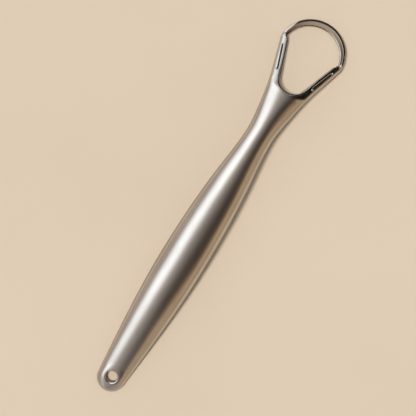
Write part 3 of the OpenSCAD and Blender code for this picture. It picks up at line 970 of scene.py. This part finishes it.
# What a shiny surface sees overhead, by the angle from straight up towards +Y, in degrees
SKY = ((-90, (0.56, 0.42, 0.27)), (-82, (0.54, 0.41, 0.26)), (-75, (0.46, 0.33, 0.21)),
       (-66, (0.60, 0.44, 0.29)), (-58, (0.58, 0.42, 0.27)), (-49, (0.33, 0.225, 0.145)),
       (-41, (0.14, 0.10, 0.068)), (-32, (0.085, 0.063, 0.046)), (-22, (0.075, 0.06, 0.047)),
       (-12, (0.14, 0.12, 0.10)), (-5, (0.225, 0.195, 0.17)), (0, (0.30, 0.265, 0.24)),
       (5, (0.44, 0.40, 0.37)), (10, (0.70, 0.66, 0.62)), (14, (1.05, 1.02, 0.98)),
       (18, (1.50, 1.52, 1.52)), (23, (1.69, 1.73, 1.76)), (28, (1.68, 1.74, 1.79)),
       (35, (1.58, 1.65, 1.72)), (42, (1.22, 1.22, 1.22)), (48, (0.86, 0.82, 0.79)),
       (54, (0.60, 0.53, 0.48)), (62, (0.50, 0.43, 0.38)), (74, (0.56, 0.48, 0.41)),
       (90, (0.52, 0.43, 0.34)))
SKY_TOP = 2.0
# How much narrower the dark card on the -Y side is, by the direction's x
CARD = ((-1, 2.2), (-0.45, 1.6), (-0.27, 1.0), (0.1, 1.1), (0.27, 1.3), (0.34, 1.4),
        (0.42, 2.0), (1, 2.1))
CARD_TOP = 4.0  # the ramp holds shares of this
# The bright card on the +Y side grows outwards past this angle: x from and to, and how much
WIDE_PAST, WIDE = 28.0, (0.02, 0.36, 1.0, 0.5)
# What the polished head sees, which leans further towards +X than the rest
HEAD_SKY = ((-90, (0.46, 0.37, 0.27)), (-74, (0.43, 0.33, 0.22)), (-66, (0.20, 0.14, 0.095)),
            (-60, (0.04, 0.032, 0.025)), (-45, (0.012, 0.010, 0.009)),
            (-18, (0.012, 0.010, 0.009)), (-10, (0.035, 0.03, 0.025)), (-3, (0.10, 0.09, 0.08)),
            (3, (0.20, 0.19, 0.18)), (10, (0.36, 0.35, 0.34)), (18, (0.43, 0.415, 0.405)),
            (33, (0.50, 0.49, 0.48)), (42, (1.05, 1.07, 1.09)), (52, (1.25, 1.28, 1.31)),
            (78, (1.2, 1.23, 1.25)), (90, (0.9, 0.8, 0.7)))
# A dark end far towards +X: its colour, where it starts by x, and where it stops by the angle
HEAD_END, HEAD_END_FROM, HEAD_END_TO = (0.03, 0.027, 0.024), (0.67, 0.74), (46, 60)
# The head's sky starts where the lean from this x is in this range, and on the +Y side a little
# further on: the angle from and to, and how much
HEAD_X, HEAD_FROM, HEAD_LATER = 0.11, (0.40, 0.44), (3, 18, 0, 0.06)
# What the tail's round end sees: its colour, where it starts by x, and its share
TAIL_SHADE, TAIL_FROM, TAIL_SHARE = (0.42, 0.385, 0.355), (-0.36, -0.66), 0.75
SOFT_COLOR, SOFT_LIGHT = (1.0, 0.97, 0.93), 0.34


def ramp(n, fac, stops):
    """A colour ramp with (position, colour) stops."""
    node = n.add("ShaderNodeValToRGB", {"Fac": fac})
    marks = node.color_ramp.elements
    while len(marks) < len(stops):
        marks.new(0.5)
    for mark, stop in zip(marks, stops):
        mark.position = stop[0]
    for mark, stop in zip(marks, stops):
        mark.color = (*stop[1], 1)
    return node.outputs[0]


def dimmed(color):
    """A colour of the sky as a share of its top level, which the background's strength restores."""
    return tuple(c / SKY_TOP for c in color)


def sky_ramp(n, angle, stops):
    """The sky's colours across the tool."""
    return ramp(n, n.remap(angle, -90, 90, 0, 1),
                [((deg + 90) / 180, dimmed(color)) for deg, color in stops])


def world():
    """A studio of soft cards for the steel, an even soft light for the rest, and a plain
    background."""
    sky = bpy.data.worlds.new("studio")
    bpy.context.scene.world = sky
    n = Nodes(sky)
    way = n.add("ShaderNodeTexCoord").outputs["Generated"]
    x, y, z = n.add("ShaderNodeSeparateXYZ", {"Vector": way}).outputs[:3]
    angle = n.times(n.math("ARCTAN2", y, z), 180 / math.pi)

    # The handle's sky: the dark card narrows and the bright one grows along x
    card = [((at + 1) / 2, (k / CARD_TOP,) * 3) for at, k in CARD]
    narrow = n.times(ramp(n, n.remap(x, -1, 1, 0, 1), card), CARD_TOP)
    below = n.times(n.math("MINIMUM", angle, 0.0), narrow)
    near = n.math("MINIMUM", n.math("MAXIMUM", angle, 0.0), WIDE_PAST)
    beyond = n.times(n.math("MAXIMUM", n.minus(angle, WIDE_PAST), 0.0), n.remap(x, *WIDE))
    overhead = sky_ramp(n, n.plus(below, n.plus(near, beyond)), SKY)
    tail = n.times(n.remap(x, *TAIL_FROM, 0, 1, True), TAIL_SHARE)
    overhead = n.mix(tail, overhead, dimmed(TAIL_SHADE))

    # The head's sky takes over towards +X
    level = n.math("DIVIDE", z, n.math("SQRT", n.plus(n.times(y, y), n.times(z, z))))
    lean = n.math("DIVIDE", n.times(n.minus(x, HEAD_X), 2.0), n.plus(level, 1.0))
    later = n.remap(angle, *HEAD_LATER, True)
    end = n.times(n.remap(x, *HEAD_END_FROM, 0, 1, True),
                  n.remap(angle, *HEAD_END_TO, 1, 0, True))
    head = n.mix(end, sky_ramp(n, angle, HEAD_SKY), dimmed(HEAD_END))
    overhead = n.mix(n.remap(n.minus(lean, later), *HEAD_FROM, 0, 1, True), overhead, head)

    path = n.add("ShaderNodeLightPath")
    seen = n.add("ShaderNodeBackground", {"Color": overhead, "Strength": SKY_TOP})
    soft = n.add("ShaderNodeBackground", {"Color": (*SOFT_COLOR, 1), "Strength": SOFT_LIGHT})
    pale = n.add("ShaderNodeBackground", {"Color": (*FLOOR_COLOR, 1), "Strength": 1.0})
    lit = n.add("ShaderNodeMixShader", {"Fac": path.outputs["Is Glossy Ray"],
                                        1: soft.outputs[0], 2: seen.outputs[0]})
    out = n.add("ShaderNodeMixShader", {"Fac": path.outputs["Is Camera Ray"],
                                        1: lit.outputs[0], 2: pale.outputs[0]})
    n.add("ShaderNodeOutputWorld", {"Surface": out.outputs[0]})


LAMP_POWER, LAMP_SIZE, LAMP_FROM = 2.15, math.radians(9), (-0.13, 0.09, 1.0)


def key_light():
    """A broad soft lamp overhead on the left, for the floor and the tool's shadow."""
    lamp = bpy.data.lights.new("key", "SUN")
    lamp.energy, lamp.angle, lamp.color = LAMP_POWER, LAMP_SIZE, SOFT_COLOR
    obj = link("key", lamp)
    obj.rotation_euler = Vector(LAMP_FROM).to_track_quat("Z", "Y").to_euler()
    obj.visible_glossy = False


CAMERA_AT = Vector((-10.2, -21.83, 608.0)) * MM
CAMERA_AZ, CAMERA_EL = math.radians(2.309), math.radians(0.761)  # off straight down
CAMERA_ROLL = math.radians(31.683)
CAMERA_LENS, CAMERA_SENSOR, CAMERA_CLIP = 134.8, 36.0, (0.01, 20.0)


def camera():
    """The photograph's view, from above the front."""
    data = bpy.data.cameras.new("camera")
    data.lens, data.sensor_width = CAMERA_LENS, CAMERA_SENSOR
    data.clip_start, data.clip_end = CAMERA_CLIP
    obj = link("camera", data)
    f = Vector((math.sin(CAMERA_EL), math.sin(CAMERA_AZ) * math.cos(CAMERA_EL),
                -math.cos(CAMERA_AZ) * math.cos(CAMERA_EL)))
    up = (Vector((1, 0, 0)) - f * f.x).normalized()
    right = f.cross(up)
    c, s = math.cos(CAMERA_ROLL), math.sin(CAMERA_ROLL)
    right, up = up * s + right * c, up * c - right * s
    m = Matrix((right, up, -f)).transposed().to_4x4()
    m.translation = CAMERA_AT
    obj.matrix_world = m
    bpy.context.scene.camera = obj


# The tool

camera()
world()
key_light()
stage_floor()

satin = steel("satin_steel_fine", 0)
polished = steel("polished_steel_fine", 1)
forked = steel("satin_to_polished_steel", None, FORK_LEAN)
headed = steel("polished_head_steel", 1, BAND_LEAN)

finish_piece(half_shell("handle_front_shell_fine", 1), "handle_front_shell", satin)
finish_piece(half_shell("handle_rear_shell_fine", -1), "handle_rear_shell", satin)
finish_piece(eyelet(), "hanging_eyelet", polished)
finish_piece(fork(), "head_fork", forked)
finish_piece(band(), "scraper_band", headed)
finish_piece(tacks(), "tack_welds", headed)

bpy.context.scene.view_settings.view_transform = "Standard"
